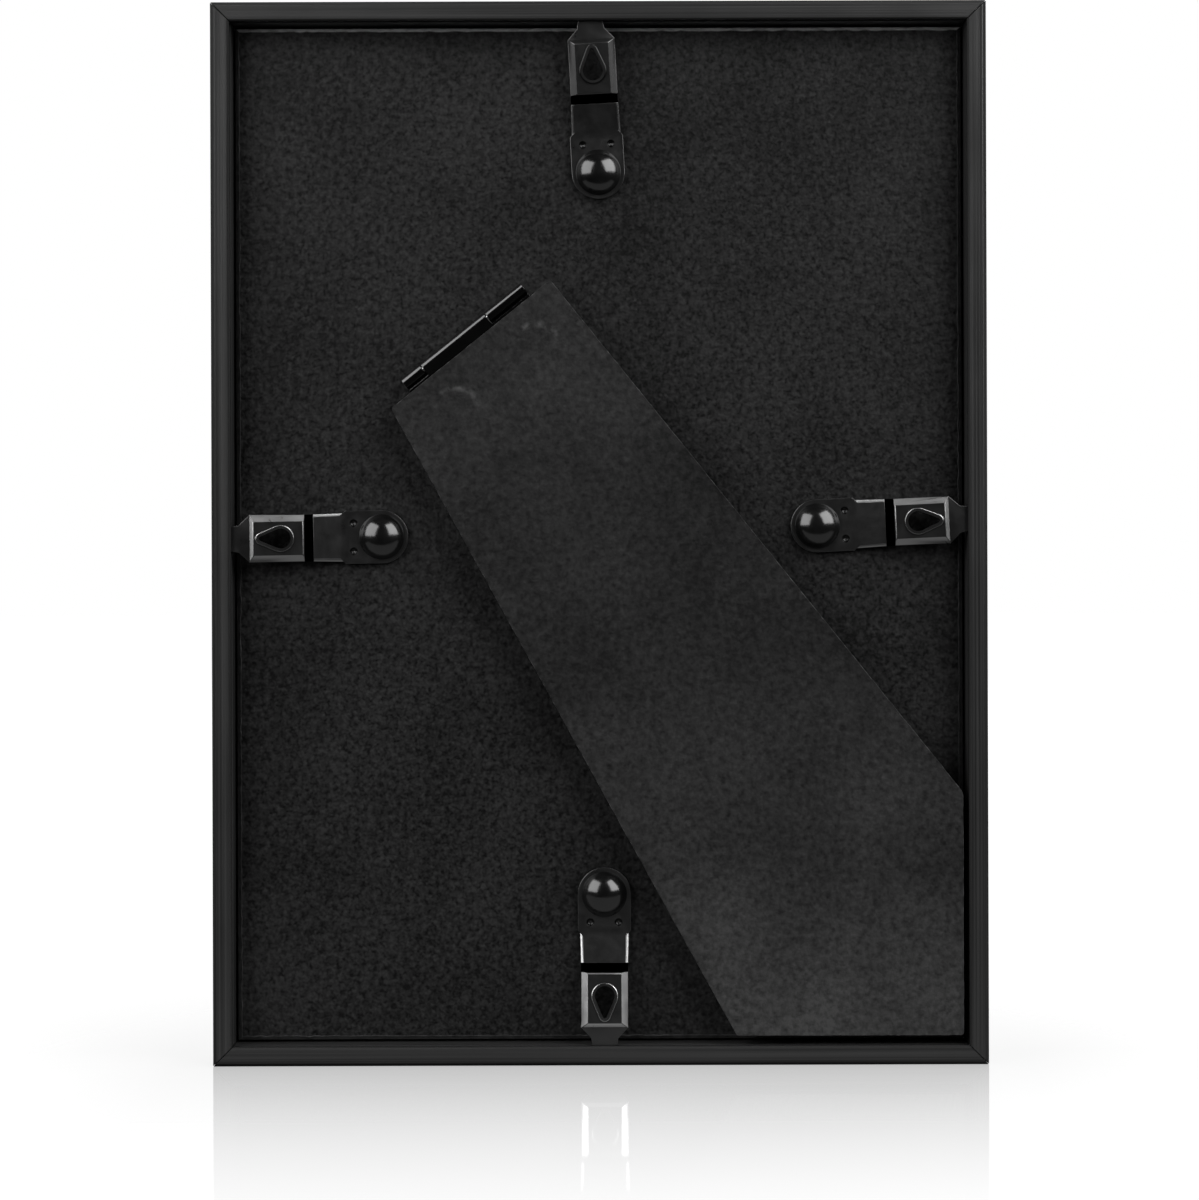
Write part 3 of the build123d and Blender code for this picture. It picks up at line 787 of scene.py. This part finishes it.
@dataclass(frozen=True)
class Fold:
    """The deep fold of a clip, between two distances from its rivet."""

    spot: ClipSpot
    start: float
    end: float

    def holds(self, face: bmesh.types.BMFace) -> bool:
        """Tells whether a face lies in the fold.

        Args:
            face: The face.

        Returns:
            True if its middle is between the two distances.
        """
        turn = math.radians(self.spot.heading)
        middle = face.calc_center_median()
        along = (middle.x - self.spot.x) * math.cos(turn) + (middle.z - self.spot.z) * math.sin(turn)
        return self.start < along < self.end


@dataclass(frozen=True)
class Job:
    """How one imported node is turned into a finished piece."""

    node: str
    body: str
    slot: str
    width: float
    segments: int = 2
    keep_clear: tuple = ()
    fray: Fray | None = None
    # Marked slopes show rubbing or polishing; on the board's edges and the clips' flanges they are also
    # painted highlight, stronger where they face up
    marked_slopes: Span | None = None
    wear_and_light: float = 1.0
    share_not_facing_up: float = 1.0
    edge_wear_and_light: float = 1.0
    fold: Fold | None = None
    pits: tuple = ()

    def mark_of(self, face: bmesh.types.BMFace) -> float:
        """How a face is marked: rubbing, polishing and painted light.

        Args:
            face: The face.

        Returns:
            Above 0 on a marked slope, most where it faces up, as rubbing or polishing and painted
            highlight; below 0 in a fold or pit, as painted shade; and 0 elsewhere.
        """
        # Painted shade in folds and pits, and painted highlight with rubbing or polishing on the marked
        # slopes
        if self.fold and self.fold.holds(face):
            return FOLD_SHADE
        middle = face.calc_center_median()
        inside = any(math.hypot(middle.x - x, middle.z - z) < radius for x, z, radius in self.pits)
        if inside and -face.normal.y < FLAT_FACE:
            return PIT_SHADE
        if self.marked_slopes is None:
            return 0.0
        low, high = self.marked_slopes
        share = self.wear_and_light if face.normal.z > FACES_UP else self.wear_and_light * self.share_not_facing_up
        return share if low < -face.normal.y < high else 0.0

    def takes(self, edge: bmesh.types.BMEdge) -> bool:
        """Tells whether an edge is far from the fine pressed features, so that it can be rounded.

        Args:
            edge: The edge.

        Returns:
            False near a feature that keeps its own edges.
        """
        middle = (edge.verts[0].co + edge.verts[1].co) / 2
        return all(math.hypot(middle.x - x, middle.z - z) > radius for x, z, radius in self.keep_clear)


@dataclass
class Softener:
    """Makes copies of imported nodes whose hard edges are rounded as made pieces' edges are."""

    nodes: dict[str, bpy.types.Object]
    sharp_angle: float = 32.0
    flat_angle: float = 0.4
    smooth_angle: float = 50.0

    def blank(self, node: str) -> bmesh.types.BMesh:
        """A merged copy of a node's mesh, its flat areas joined into large faces.

        Args:
            node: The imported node's name.

        Returns:
            The copy.
        """
        mesh = bmesh.new()
        mesh.from_mesh(self.nodes[node].data)
        bmesh.ops.remove_doubles(mesh, verts=mesh.verts, dist=MERGE_GAP)
        bmesh.ops.dissolve_limit(
            mesh,
            angle_limit=math.radians(self.flat_angle),
            use_dissolve_boundaries=False,
            verts=mesh.verts,
            edges=mesh.edges,
        )
        return mesh

    def hard_edges(self, mesh: bmesh.types.BMesh) -> list[bmesh.types.BMEdge]:
        """Edges where two faces meet at a sharp angle.

        Args:
            mesh: The shape to look through.

        Returns:
            Its hard edges.
        """
        limit = math.radians(self.sharp_angle)
        joined = [edge for edge in mesh.edges if len(edge.link_faces) == 2]
        return [edge for edge in joined if edge.calc_face_angle(0.0) > limit]

    def fray(self, mesh: bmesh.types.BMesh, edges: list[bmesh.types.BMEdge], cut: Fray) -> None:
        """Breaks straight cuts into short lengths and moves them in and out a little.

        Args:
            mesh: The shape that is frayed.
            edges: The straight cuts.
            cut: How rough they are.
        """
        for edge in edges:
            pieces = max(1, int(edge.calc_length() / cut.step))
            along = (edge.verts[1].co - edge.verts[0].co).normalized()
            out = along.cross(Vector((0.0, 1.0, 0.0)))
            made = bmesh.ops.subdivide_edges(mesh, edges=[edge], cuts=pieces)
            for vert in made["geom_inner"]:
                if isinstance(vert, bmesh.types.BMVert):
                    vert.co += out * cut.depth * noise.noise(vert.co * cut.waves)

    def soften(self, job: Job, material: bpy.types.Material) -> bpy.types.Object:
        """Replaces a node by a copy with rounded edges, its faces marked for rubbing, polishing and
        painted light.

        Args:
            job: Which node, where it rides, and how it is rounded.
            material: The finish.

        Returns:
            The new piece.
        """
        mesh = self.blank(job.node)
        mark_layer = mesh.faces.layers.float.new(WEAR_AND_LIGHT_MARK)
        if job.fray:
            self.fray(mesh, job.fray.pick(mesh), job.fray)
        for face in mesh.faces:
            face[mark_layer] = job.mark_of(face)
        made = bmesh.ops.bevel(
            mesh,
            geom=[edge for edge in self.hard_edges(mesh) if job.takes(edge)],
            offset=job.width,
            offset_type="OFFSET",
            affect="EDGES",
            segments=job.segments,
            profile=0.5,
            clamp_overlap=False,
            material=-1,
        )
        for face in made["faces"]:
            # Painted shade: rounded faces inside a clip's fold get the fold's black mark
            in_fold_shade = job.fold and job.fold.holds(face)
            face[mark_layer] = FOLD_SHADE if in_fold_shade else job.edge_wear_and_light
        piece = placed(f"{job.node}_finished", mesh, material, self.smooth_angle)
        weights = piece.modifiers.new("even_normals", "WEIGHTED_NORMAL")
        weights.keep_sharp = True
        return seated(piece, job.body, job.slot, job.node)


def seated(piece: bpy.types.Object, body: str, slot: str, *replaced: str) -> bpy.types.Object:
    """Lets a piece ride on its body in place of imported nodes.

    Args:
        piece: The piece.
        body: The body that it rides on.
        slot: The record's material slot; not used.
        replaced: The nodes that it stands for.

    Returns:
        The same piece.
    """
    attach(piece, body)
    if replaced:
        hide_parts(*replaced)
    LOG.info("%s rides on %s: %d faces", piece.name, body, len(piece.data.polygons))
    return piece


@dataclass
class RailFrame:
    """Four mitred rails and the keys hidden in their corners."""

    softener: Softener
    edge: float = 0.1 * MM

    def build(self) -> None:
        """Dresses the rails and their corner keys."""
        across = StreakedRailBlack(Run.ACROSS).make()
        upright = StreakedRailBlack(Run.UPRIGHT).make()
        for side in Side:
            finish = across if side in (Side.TOP, Side.BOTTOM) else upright
            job = Job(f"rail_{side.value}", "frame", "rail", self.edge, marked_slopes=(0.05, 0.995))
            self.softener.soften(job, finish)
        key_finish = MouldedGrey().make()
        for corner in ("top_left", "top_right", "bottom_left", "bottom_right"):
            dress(self.softener.nodes[f"corner_key_{corner}"], key_finish)


@dataclass
class PictureStack:
    """Pane, blank print, fibre board and its grained cover."""

    softener: Softener
    edge: float = 0.08 * MM
    cut: float = 0.16 * MM
    air: float = 0.04 * MM

    def pane(self) -> None:
        """Makes the pane, with a film of air between it and the print."""
        mesh = self.softener.blank("glass_pane")
        print_side = min(vert.co.y for vert in mesh.verts)
        for vert in mesh.verts:
            if vert.co.y - print_side < MERGE_GAP:
                vert.co.y += self.air
        piece = placed("glass_pane_finished", mesh, PaneGlass().make(), smooth_angle=30.0)
        seated(piece, "frame", "pane", "glass_pane")

    def build(self) -> None:
        """Dresses the stack from the picture side to the back."""
        nodes = self.softener.nodes
        self.pane()
        dress(nodes["photo_insert"], PrintPaper().make())
        dress(nodes["backboard"], PressedBoard("raw_board", 0.12, 0.12).make())
        fray = Fray(BOARD_BACK, step=1.1 * MM, depth=self.cut)
        # Painted highlight: the cover's bevelled edges are painted lighter, most where they face up,
        # besides rubbing; its rounded cut faces get a little of the same
        job = Job(
            "backboard_cover",
            "frame",
            "grain_paper",
            self.edge,
            fray=fray,
            marked_slopes=(0.3, 0.95),
            share_not_facing_up=0.2,
            edge_wear_and_light=0.15,
        )
        self.softener.soften(job, LeatherGrainPaper().make())


@dataclass
class TurnClips:
    """Four bent turn clips, each swinging on its rivet."""

    softener: Softener
    edge: float = 0.08 * MM
    dimple_along: float = 4.95 * MM
    dimple_across: float = 2.5 * MM
    dimple_radius: float = 1.4 * MM
    keyhole_along: float = 18.3 * MM
    keyhole_radius: float = 3.6 * MM
    fold_start: float = 12.02 * MM
    fold_end: float = 13.46 * MM

    def fine_features(self, side: Side) -> tuple:
        """Circles round the dimples and the hanging hole of one clip.

        Args:
            side: The clip's side.

        Returns:
            Middle and radius of each circle.
        """
        spot = CLIPS[side]
        turn = Matrix.Rotation(math.radians(spot.heading), 2)
        places = (
            (self.dimple_along, self.dimple_across, self.dimple_radius),
            (self.dimple_along, -self.dimple_across, self.dimple_radius),
            (self.keyhole_along, 0.0, self.keyhole_radius),
        )
        circles = []
        for along, across, radius in places:
            flat = turn @ Vector((along, across))
            circles.append((spot.x + flat.x, spot.z + flat.y, radius))
        return tuple(circles)

    def build(self) -> None:
        """Dresses the clips."""
        finish = BlackLacquer("clip_lacquer", gloss=0.3, tone=0.003, shine=0.85).make()
        for side in Side:
            circles = self.fine_features(side)
            # Painted highlight: flange polishing set clip by clip, stronger on flanges that face up
            wear_and_light, share_not_facing_up = FLANGE_POLISH_AND_HIGHLIGHT[side]
            job = Job(
                f"clip_{side.value}",
                f"turn_clip_{side.value}",
                "clip_lacquer",
                self.edge,
                keep_clear=circles,
                marked_slopes=(0.83, 0.94),
                wear_and_light=wear_and_light,
                share_not_facing_up=share_not_facing_up,
                edge_wear_and_light=0.05,
                # Painted shade: the dimples, and the top clip's hanging hole, are darkened
                pits=circles if side is Side.TOP else circles[:2],
                # Painted shade: the fold is drawn black and without sheen
                fold=Fold(CLIPS[side], self.fold_start, self.fold_end),
            )
            self.softener.soften(job, finish)


@dataclass
class ClipRivets:
    """Dome headed rivets that the clips swing on, turned from one profile."""

    foot: float = 1.06 * MM
    rim: float = 0.25 * MM
    dome_radius: float = 4.0 * MM
    dome_height: float = 2.3 * MM
    shank_radius: float = 1.8 * MM
    tail_radius: float = 2.8 * MM
    tail_seat: float = -2.15 * MM
    tail_end: float = -2.75 * MM
    hollow_radius: float = 1.1 * MM
    hollow_depth: float = 2.0 * MM
    arc_steps: int = 16
    turn_steps: int = 80

    def profile(self, mesh: bmesh.types.BMesh, x: float, z: float) -> None:
        """Draws half of the rivet's section, from the dome's top round to the hollow tail.

        Args:
            mesh: The empty mesh that it is drawn in.
            x: Place of the axis along the frame.
            z: Height of the axis.
        """
        spring = self.foot + self.rim
        top = spring + self.dome_height
        ball = (self.dome_radius**2 + self.dome_height**2) / (2 * self.dome_height)
        crown = mesh.verts.new((x, BOARD_BACK - top, z))
        arc = bmesh.ops.spin(
            mesh,
            geom=[crown],
            cent=(x, BOARD_BACK - top + ball, z),
            axis=(0.0, 0.0, 1.0),
            angle=math.asin(self.dome_radius / ball),
            steps=self.arc_steps,
        )
        last = next(item for item in arc["geom_last"] if isinstance(item, bmesh.types.BMVert))
        hollow_end = self.tail_end + self.hollow_depth
        for radius, height in (
            (self.dome_radius, self.foot),
            (self.shank_radius, self.foot),
            (self.shank_radius, self.tail_seat),
            (self.tail_radius, self.tail_seat),
            (self.tail_radius, self.tail_end),
            (self.hollow_radius, self.tail_end),
            (self.hollow_radius, hollow_end),
            (0.0, hollow_end),
        ):
            after = mesh.verts.new((x + radius, BOARD_BACK - height, z))
            mesh.edges.new((last, after))
            last = after

    def turned(self, side: Side, material: bpy.types.Material) -> bpy.types.Object:
        """Turns one rivet.

        Args:
            side: The clip that it holds.
            material: Its finish.

        Returns:
            The rivet.
        """
        spot = CLIPS[side]
        mesh = bmesh.new()
        self.profile(mesh, spot.x, spot.z)
        bmesh.ops.spin(
            mesh,
            geom=mesh.verts[:] + mesh.edges[:],
            cent=(spot.x, 0.0, spot.z),
            axis=(0.0, 1.0, 0.0),
            angle=math.tau,
            steps=self.turn_steps,
            use_merge=True,
        )
        bmesh.ops.remove_doubles(mesh, verts=mesh.verts, dist=MERGE_GAP)
        bmesh.ops.recalc_face_normals(mesh, faces=mesh.faces)
        piece = placed(f"clip_rivet_{side.value}_finished", mesh, material, smooth_angle=40.0)
        return seated(piece, "frame", "rivet_lacquer", f"clip_rivet_{side.value}")

    def build(self) -> None:
        """Makes the four rivets."""
        finish = BlackLacquer("rivet_lacquer", gloss=0.18, tone=0.003).make()
        for side in Side:
            self.turned(side, finish)


@dataclass
class EaselStrut:
    """The strut with its cover, and the hinge that it folds on."""

    softener: Softener
    tilt: float = 38.7
    edge: float = 0.06 * MM
    cut: float = 0.09 * MM

    def build(self) -> None:
        """Dresses the strut, its hinge and its rivets."""
        nodes = self.softener.nodes
        board = PressedBoard("dyed_board", 0.012).make()
        self.softener.soften(Job("strut_panel", "strut", "strut_board", self.edge), board)
        fray = Fray(STRUT_BACK, step=1.3 * MM, depth=self.cut)
        cover = Job("strut_cover", "strut", "strut_paper", self.edge, fray=fray)
        self.softener.soften(cover, FineGrainPaper().make())
        hinge = BlackLacquer("hinge_lacquer", gloss=0.13, tone=0.001).make()
        for node, body in (("hinge_board_leaf", "frame"), ("hinge_strut_leaf", "strut")):
            self.softener.soften(Job(node, body, "hinge_lacquer", self.edge, edge_wear_and_light=0.0), hinge)
        dress(nodes["hinge_pin"], DrawnSteel(self.tilt).make())
        for end in ("lower", "upper"):
            dress(nodes[f"hinge_rivet_board_{end}"], hinge)
            dress(nodes[f"hinge_rivet_strut_{end}"], hinge)


@dataclass(frozen=True)
class SoftBox:
    """One soft studio light."""

    name: str
    spot: tuple[float, float, float]
    size: Span
    radiance: float

    def place(self, aim: Vector) -> None:
        """Makes the light and points it.

        Args:
            aim: The point that it faces.
        """
        data = bpy.data.lights.new(self.name, "AREA")
        data.shape = "RECTANGLE"
        data.size, data.size_y = self.size
        data.energy = self.radiance * math.pi * self.size[0] * self.size[1]
        lamp = bpy.data.objects.new(self.name, data)
        lamp.location = self.spot
        lamp.rotation_mode = "QUATERNION"
        lamp.rotation_quaternion = (aim - Vector(self.spot)).to_track_quat("-Z", "Y")
        lamp.visible_camera = False
        bpy.context.scene.collection.objects.link(lamp)


@dataclass
class Studio:
    """White sweep, soft lights and the camera of the portrait."""

    centre_z: float = 93.75 * MM
    axis_z: float = 92.6 * MM
    view_centre_z: float = 82.0 * MM
    back_y: float = -7.5 * MM
    distance: float = 0.5
    view_height: float = 211.1 * MM
    sensor: float = 36.0
    roll: float = 0.18
    floor_half: float = 3.0
    gloss_reach: float = 190.0 * MM
    gloss_sides: Span = (75.0 * MM, 140.0 * MM)
    gloss_share: float = 0.485
    gloss_fade: float = 2.0
    gloss_blur: float = 0.04
    matt_tone: float = 0.1
    glow_reach: Span = (0.2, 1.2)
    glow: Span = (0.93, 1.0)
    bounce_y: float = -65.0 * MM
    backdrop: Span = (0.82, 0.92)
    room_glow: float = 0.02

    def build(self) -> None:
        """Sets up everything around the frame."""
        self.world()
        self.floor()
        self.lights()
        self.camera()
        bpy.context.scene.view_settings.view_transform = "Standard"
        bpy.context.scene.view_settings.look = "None"

    def world(self) -> None:
        """A white backdrop behind the frame and a dark room on the camera's side."""
        world = bpy.data.worlds.new("studio")
        world.use_nodes = True
        tree = world.node_tree
        tree.nodes.clear()
        output = tree.nodes.new("ShaderNodeOutputWorld")
        mix = tree.nodes.new("ShaderNodeMixShader")
        seen = tree.nodes.new("ShaderNodeBackground")
        room = tree.nodes.new("ShaderNodeBackground")
        path = tree.nodes.new("ShaderNodeLightPath")
        place = tree.nodes.new("ShaderNodeTexCoord")
        parts = tree.nodes.new("ShaderNodeSeparateXYZ")
        sweep = tree.nodes.new("ShaderNodeMapRange")
        sweep.inputs["From Min"].default_value, sweep.inputs["From Max"].default_value = self.backdrop
        sweep.inputs["To Min"].default_value = self.room_glow
        sweep.inputs["To Max"].default_value = 1.0
        tree.links.new(place.outputs["Generated"], parts.inputs["Vector"])
        tree.links.new(parts.outputs["Y"], sweep.inputs["Value"])
        tree.links.new(sweep.outputs["Result"], room.inputs["Strength"])
        tree.links.new(path.outputs["Is Camera Ray"], mix.inputs["Fac"])
        tree.links.new(room.outputs["Background"], mix.inputs[1])
        tree.links.new(seen.outputs["Background"], mix.inputs[2])
        tree.links.new(mix.outputs["Shader"], output.inputs["Surface"])
        for node in (seen, room):
            node.inputs["Color"].default_value = (1.0, 1.0, 1.0, 1.0)
        seen.inputs["Strength"].default_value = 1.0
        bpy.context.scene.world = world

    def floor(self) -> None:
        """A white table top that only the camera sees."""
        mesh = bmesh.new()
        bmesh.ops.create_grid(mesh, x_segments=1, y_segments=1, size=self.floor_half)
        table = placed("white_table", mesh, self.table_finish(), smooth_angle=30.0)
        table.visible_diffuse = False
        table.visible_glossy = False

    def table_finish(self) -> bpy.types.Material:
        """A glowing white whose gloss fades away from the frame."""
        web = NodeWeb("white_table")
        web.tree.nodes.remove(web.shader)
        parts = web.tree.nodes.new("ShaderNodeSeparateXYZ")
        web.link(web.place, parts.inputs["Vector"])
        away = web.sums("ABSOLUTE", parts.outputs["Y"], 0.0)
        near = web.spread(away, (-self.back_y, self.gloss_reach - self.back_y), (1.0, 0.0))
        aside = web.spread(web.sums("ABSOLUTE", parts.outputs["X"], 0.0), self.gloss_sides, (1.0, 0.0))
        fading = web.sums("MULTIPLY", web.sums("POWER", near, self.gloss_fade), self.gloss_share)
        share = web.sums("MULTIPLY", fading, aside)
        matt = web.tree.nodes.new("ShaderNodeBsdfDiffuse")
        matt.inputs["Color"].default_value = (*grey(self.matt_tone), 1.0)
        glow = web.tree.nodes.new("ShaderNodeEmission")
        web.link(web.spread(away, self.glow_reach, self.glow), glow.inputs["Strength"])
        both = web.tree.nodes.new("ShaderNodeAddShader")
        gloss = web.tree.nodes.new("ShaderNodeBsdfGlossy")
        gloss.inputs["Roughness"].default_value = self.gloss_blur
        mix = web.tree.nodes.new("ShaderNodeMixShader")
        web.link(matt.outputs["BSDF"], both.inputs[0])
        web.link(glow.outputs["Emission"], both.inputs[1])
        web.link(share, mix.inputs["Fac"])
        web.link(both.outputs["Shader"], mix.inputs[1])
        web.link(gloss.outputs["BSDF"], mix.inputs[2])
        web.link(mix.outputs["Shader"], web.output.inputs["Surface"])
        return web.material

    def lights(self) -> None:
        """Two softboxes over the back, a fill for the picture side and the table's bounced light."""
        aim = Vector((0.0, 0.0, self.centre_z))
        boxes = (
            SoftBox("softbox_left", spot=(-0.38, -0.26, 0.33), size=(0.46, 0.46), radiance=5.2),
            SoftBox("softbox_right", spot=(0.42, -0.29, 0.43), size=(0.54, 0.54), radiance=6.8),
            SoftBox("picture_fill", spot=(0.35, 0.95, 0.7), size=(0.8, 0.8), radiance=6.0),
        )
        for box in boxes:
            box.place(aim)
        above_table = (0.0, self.bounce_y, 1.0 * MM)
        bounce = SoftBox("table_bounce", spot=above_table, size=(0.6, 0.115), radiance=0.32)
        bounce.place(Vector((0.0, self.bounce_y, 1.0)))

    def camera(self) -> None:
        """A level camera behind the frame, a hair off plumb as the photo is."""
        data = bpy.data.cameras.new("portrait_camera")
        data.sensor_width = self.sensor
        data.lens = self.sensor * self.distance / self.view_height
        data.shift_y = (self.view_centre_z - self.axis_z) / self.view_height
        data.clip_start, data.clip_end = 0.01, 50.0
        camera = bpy.data.objects.new("portrait_camera", data)
        bpy.context.scene.collection.objects.link(camera)
        level = Matrix.Rotation(math.radians(90.0), 4, "X")
        roll = Matrix.Rotation(math.radians(-self.roll), 4, "Z")
        spot = Matrix.Translation((0.0, self.back_y - self.distance, self.axis_z))
        camera.matrix_world = spot @ level @ roll
        bpy.context.scene.camera = camera


def main() -> None:
    """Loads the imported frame, dresses its sub-assemblies in order and sets up the studio."""
    logging.basicConfig(level=logging.INFO, format="%(message)s")
    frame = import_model()
    softener = Softener(frame["nodes"])
    for assembly in (
        RailFrame(softener),
        PictureStack(softener),
        TurnClips(softener),
        ClipRivets(),
        EaselStrut(softener),
    ):
        assembly.build()
        LOG.info("%s is dressed", type(assembly).__name__)
    Studio().build()


if __name__ == "__main__":
    main()
